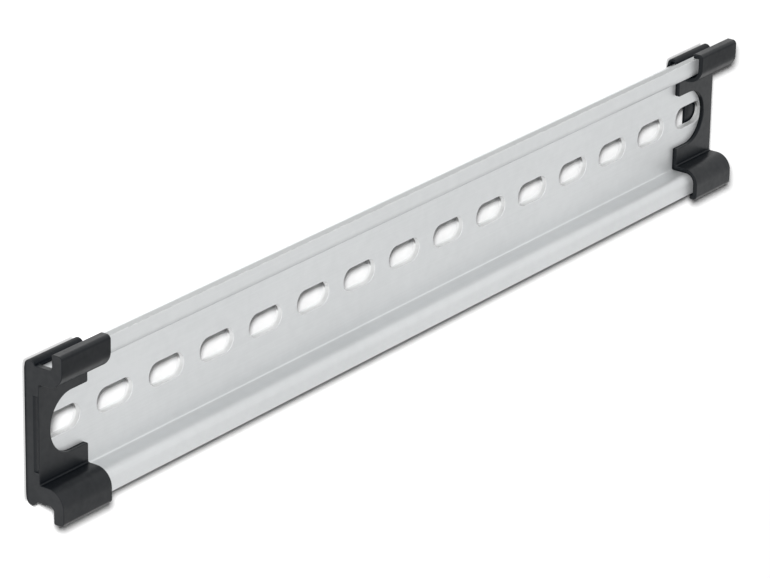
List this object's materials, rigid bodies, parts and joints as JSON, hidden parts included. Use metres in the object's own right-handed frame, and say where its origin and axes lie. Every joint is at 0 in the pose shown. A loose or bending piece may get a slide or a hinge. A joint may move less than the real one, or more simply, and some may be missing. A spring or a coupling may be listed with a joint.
{
  "type": "din rail with end brackets",
  "caption": "Slotted top-hat mounting rail in aluminium, with a moulded plastic bracket gripping each end so that it can stand off a panel or drop into a housing.",
  "frame": {"origin": "middle of the footprint, on the rear faces of the two end brackets, which the part lies on", "axes": "+X along the rail towards the right bracket, +Y across the rail towards the jaws, +Z out of the open front of the rail"},
  "size_m": [0.2552, 0.0376, 0.0103],
  "materials": {
    "rail_aluminium": "satin, as extruded",
    "bracket_plastic": "satin black, moulded"
  },
  "bodies": {
    "root": {"rail": "rail_aluminium", "left_end_bracket": "bracket_plastic", "right_end_bracket": "bracket_plastic"}
  },
  "joints": []
}
